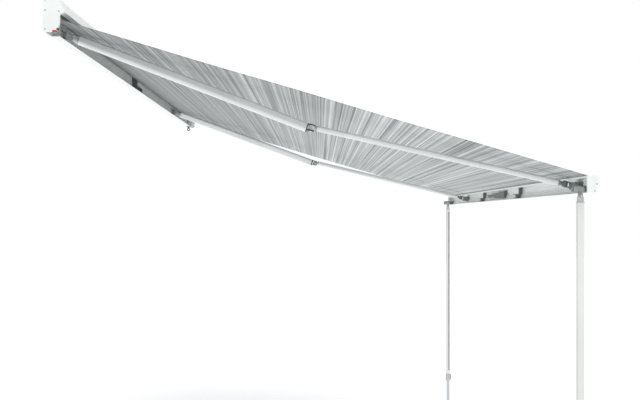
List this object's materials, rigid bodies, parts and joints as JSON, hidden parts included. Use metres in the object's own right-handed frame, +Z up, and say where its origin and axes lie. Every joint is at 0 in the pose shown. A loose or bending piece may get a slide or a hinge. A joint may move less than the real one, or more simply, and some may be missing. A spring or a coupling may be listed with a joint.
{
  "type": "roll out awning",
  "caption": "Wall mounted roll out awning with a white case, striped cloth, folding arms, a lead bar and telescopic legs.",
  "frame": {"origin": "middle of the case on the wall face", "axes": "+X along the case towards the winding gear, +Y into the wall, +Z up"},
  "size_m": [4, 2.496, 2.8],
  "materials": {
    "white_coat": "white powder coat",
    "arm_coat": "pale grey coat",
    "dark_cast": "dark coated casting",
    "grey_cast": "grey green casting",
    "steel": "zinc plated",
    "bright": "polished",
    "brass_gear": "cast brass",
    "dark_plastic": "moulded black plastic",
    "grey_plastic": "moulded grey plastic",
    "red_plastic": "moulded red plastic",
    "bare_aluminium": "anodised",
    "cloth": "striped awning cloth"
  },
  "bodies": {
    "case": {"case_back": "white_coat", "hood": "white_coat", "left_case_cap": "white_coat", "right_case_cap": "white_coat", "cap_screws": "steel", "cap_inserts": "red_plastic", "wall_brackets": "steel", "case_bolts": "steel", "mid_cradle": "dark_cast", "shoulder_brackets": "dark_cast", "shoulder_pins": "steel", "gear_housing": "dark_plastic"},
    "roller": {"roller_tube": "steel", "fabric_roll": "cloth", "roller_plugs": "steel", "worm_wheel": "brass_gear"},
    "worm": {"worm_shaft": "steel", "winding_eye": "dark_plastic"},
    "left_upper_arm": {"left_upper_arm": "arm_coat", "left_shoulder_knuckle": "dark_cast", "left_elbow_fork": "dark_cast", "left_elbow_pin": "bright", "left_arm_spring": "steel"},
    "left_forearm": {"left_forearm": "arm_coat", "left_elbow_knuckle": "dark_cast", "left_wrist_knuckle": "dark_cast"},
    "right_upper_arm": {"right_upper_arm": "arm_coat", "right_shoulder_knuckle": "dark_cast", "right_elbow_fork": "dark_cast", "right_elbow_pin": "bright", "right_arm_spring": "steel"},
    "right_forearm": {"right_forearm": "arm_coat", "right_elbow_knuckle": "dark_cast", "right_wrist_knuckle": "dark_cast"},
    "lead_bar": {"lead_bar": "white_coat", "left_bar_cap": "white_coat", "right_bar_cap": "white_coat", "bar_screws": "steel", "wrist_brackets": "dark_cast", "wrist_pins": "steel", "leg_hinges": "grey_cast", "leg_clips": "dark_plastic", "centre_latch": "dark_plastic", "canopy": "cloth"},
    "left_leg_knuckle": {"left_leg_knuckle": "grey_cast", "left_leg_pin": "steel"},
    "left_leg": {"left_leg_head": "grey_plastic", "left_leg_outer_tube": "white_coat", "left_leg_clamp": "grey_plastic"},
    "left_inner_leg": {"left_leg_inner_tube": "bare_aluminium", "left_leg_foot": "dark_plastic"},
    "left_clamp_lever": {"left_clamp_lever": "dark_plastic"},
    "right_leg_knuckle": {"right_leg_knuckle": "grey_cast", "right_leg_pin": "steel"},
    "right_leg": {"right_leg_head": "grey_plastic", "right_leg_outer_tube": "white_coat", "right_leg_clamp": "grey_plastic"},
    "right_inner_leg": {"right_leg_inner_tube": "bare_aluminium", "right_leg_foot": "dark_plastic"},
    "right_clamp_lever": {"right_clamp_lever": "dark_plastic"}
  },
  "joints": [
    {"name": "awning_fold", "type": "hinge", "parent": "case", "child": "left_upper_arm", "pos_m": [-1.73, -0.029, -0.042], "axis": [-0.003, -0.3457, 0.9383], "range_deg": [0, 84.14]},
    {"name": "left_elbow", "type": "hinge", "parent": "left_upper_arm", "child": "left_forearm", "pos_m": [-1.61763, -1.20501, -0.4749], "axis": [-0.0543, 0.286, -0.9567], "range_deg": [0, 168.16]},
    {"name": "left_wrist", "type": "hinge", "parent": "left_forearm", "child": "lead_bar", "pos_m": [-1.73, -2.426, -0.757], "axis": [0.0019, 0.225, -0.9744], "range_deg": [-84.43, 0], "deforming": ["canopy"]},
    {"name": "right_shoulder", "type": "hinge", "parent": "case", "child": "right_upper_arm", "pos_m": [1.19, -0.029, -0.042], "axis": [-0.003, 0.3457, -0.9383], "range_deg": [0, 84.44]},
    {"name": "right_elbow", "type": "hinge", "parent": "right_upper_arm", "child": "right_forearm", "pos_m": [1.07763, -1.20501, -0.4749], "axis": [-0.0543, -0.286, 0.9567], "range_deg": [0, 168.16]},
    {"name": "roller_spin", "type": "hinge", "parent": "case", "child": "roller", "pos_m": [0, -0.046, 0.0205], "axis": [1, 0, 0], "range_deg": [0, 4296.1]},
    {"name": "worm_spin", "type": "hinge", "parent": "case", "child": "worm", "pos_m": [1.966, -0.02, 0], "axis": [0, 0, 1], "range_deg": [-51553.4, 0]},
    {"name": "left_leg_fold", "type": "hinge", "parent": "lead_bar", "child": "left_leg_knuckle", "pos_m": [-1.935, -2.402, -0.789], "axis": [0, -1, 0], "range_deg": [0, 90]},
    {"name": "left_leg_tilt", "type": "hinge", "parent": "left_leg_knuckle", "child": "left_leg", "pos_m": [-1.935, -2.435, -0.819], "axis": [-1, 0, 0], "range_deg": [-55, 0]},
    {"name": "left_leg_slide", "type": "slide", "parent": "left_leg", "child": "left_inner_leg", "axis": [0, 0, 1], "range_m": [-0.25, 0.235]},
    {"name": "left_clamp_lever", "type": "hinge", "parent": "left_leg", "child": "left_clamp_lever", "pos_m": [-1.935, -2.46, -2.381], "axis": [1, 0, 0], "range_deg": [-80, 0]},
    {"name": "right_leg_fold", "type": "hinge", "parent": "lead_bar", "child": "right_leg_knuckle", "pos_m": [1.935, -2.402, -0.789], "axis": [0, 1, 0], "range_deg": [0, 90]},
    {"name": "right_leg_tilt", "type": "hinge", "parent": "right_leg_knuckle", "child": "right_leg", "pos_m": [1.935, -2.435, -0.819], "axis": [-1, 0, 0], "range_deg": [-55, 0]},
    {"name": "right_leg_slide", "type": "slide", "parent": "right_leg", "child": "right_inner_leg", "axis": [0, 0, 1], "range_m": [-0.25, 0.235]},
    {"name": "right_clamp_lever", "type": "hinge", "parent": "right_leg", "child": "right_clamp_lever", "pos_m": [1.935, -2.46, -2.381], "axis": [1, 0, 0], "range_deg": [-80, 0]}
  ],
  "couplings": [
    {"joint": "left_elbow", "follows": "awning_fold", "ratio": 1.995},
    {"joint": "left_wrist", "follows": "awning_fold", "ratio": -0.99985},
    {"joint": "right_shoulder", "follows": "awning_fold", "ratio": 1},
    {"joint": "right_elbow", "follows": "awning_fold", "ratio": 1.995},
    {"joint": "roller_spin", "follows": "awning_fold", "ratio": 51},
    {"joint": "worm_spin", "follows": "awning_fold", "ratio": -612}
  ]
}
